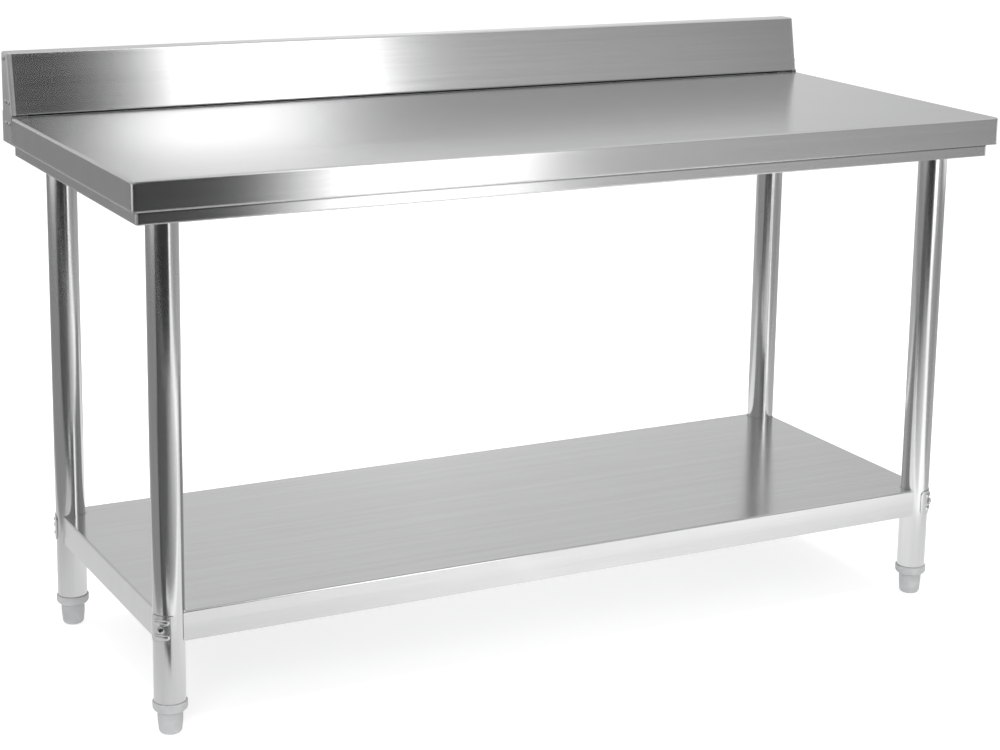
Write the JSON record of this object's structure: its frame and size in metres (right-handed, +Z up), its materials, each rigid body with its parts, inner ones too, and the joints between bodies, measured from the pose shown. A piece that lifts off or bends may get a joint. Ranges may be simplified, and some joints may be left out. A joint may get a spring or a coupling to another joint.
{
  "type": "stainless work table",
  "caption": "Stainless steel work table with a low backsplash, an undershelf clamped to round tube legs, and screw-adjusted levelling feet.",
  "frame": {"origin": "on the floor, under the middle of the table's overall box", "axes": "+X along the table's length, -Y towards the front, +Y towards the backsplash, +Z up"},
  "size_m": [1.5036, 0.65, 0.95],
  "materials": {
    "brushed_sheet": "satin brushed along the length",
    "rim_sheet": "satin brushed along each channel",
    "leg_tube": "bright polished tube",
    "clamp_sheet": "pressed sheet, mill finish",
    "plain_steel": "dull mill finish",
    "fastener_steel": "bright zinc plated",
    "foot_plastic": "moulded, slightly satin"
  },
  "bodies": {
    "table": {"worktop_pan": "brushed_sheet", "splash_panel": "brushed_sheet", "splash_cap_left": "brushed_sheet", "splash_cap_right": "brushed_sheet", "shelf_pan": "brushed_sheet", "rim_front": "rim_sheet", "rim_rear": "rim_sheet", "rim_left": "rim_sheet", "rim_right": "rim_sheet", "worktop_stiffener_front": "plain_steel", "worktop_stiffener_rear": "plain_steel", "shelf_stiffener": "plain_steel", "splash_bracket_left": "plain_steel", "splash_bracket_right": "plain_steel", "leg_socket_front_left": "plain_steel", "leg_socket_front_right": "plain_steel", "leg_socket_rear_left": "plain_steel", "leg_socket_rear_right": "plain_steel", "leg_set_screws": "fastener_steel", "splash_screws_left": "fastener_steel", "splash_screws_right": "fastener_steel", "splash_rivets": "fastener_steel", "clamp_bolts": "fastener_steel", "clamp_nuts": "fastener_steel", "leg_front_left": "leg_tube", "leg_front_right": "leg_tube", "leg_rear_left": "leg_tube", "leg_rear_right": "leg_tube", "clamp_plate_front_left": "clamp_sheet", "clamp_plate_front_right": "clamp_sheet", "clamp_plate_rear_left": "clamp_sheet", "clamp_plate_rear_right": "clamp_sheet", "shelf_saddle_front_left": "clamp_sheet", "shelf_saddle_front_right": "clamp_sheet", "shelf_saddle_rear_left": "clamp_sheet", "shelf_saddle_rear_right": "clamp_sheet", "foot_plug_front_left": "foot_plastic", "foot_plug_front_right": "foot_plastic", "foot_plug_rear_left": "foot_plastic", "foot_plug_rear_right": "foot_plastic"},
    "leveller_front_left": {"foot_front_left": "foot_plastic", "foot_stem_front_left": "fastener_steel"},
    "leveller_front_right": {"foot_front_right": "foot_plastic", "foot_stem_front_right": "fastener_steel"},
    "leveller_rear_left": {"foot_rear_left": "foot_plastic", "foot_stem_rear_left": "fastener_steel"},
    "leveller_rear_right": {"foot_rear_right": "foot_plastic", "foot_stem_rear_right": "fastener_steel"}
  },
  "joints": [
    {"name": "level_front_left", "type": "slide", "parent": "table", "child": "leveller_front_left", "axis": [0, 0, -1], "range_m": [0, 0.025]},
    {"name": "level_front_right", "type": "slide", "parent": "table", "child": "leveller_front_right", "axis": [0, 0, -1], "range_m": [0, 0.025]},
    {"name": "level_rear_left", "type": "slide", "parent": "table", "child": "leveller_rear_left", "axis": [0, 0, -1], "range_m": [0, 0.025]},
    {"name": "level_rear_right", "type": "slide", "parent": "table", "child": "leveller_rear_right", "axis": [0, 0, -1], "range_m": [0, 0.025]}
  ]
}
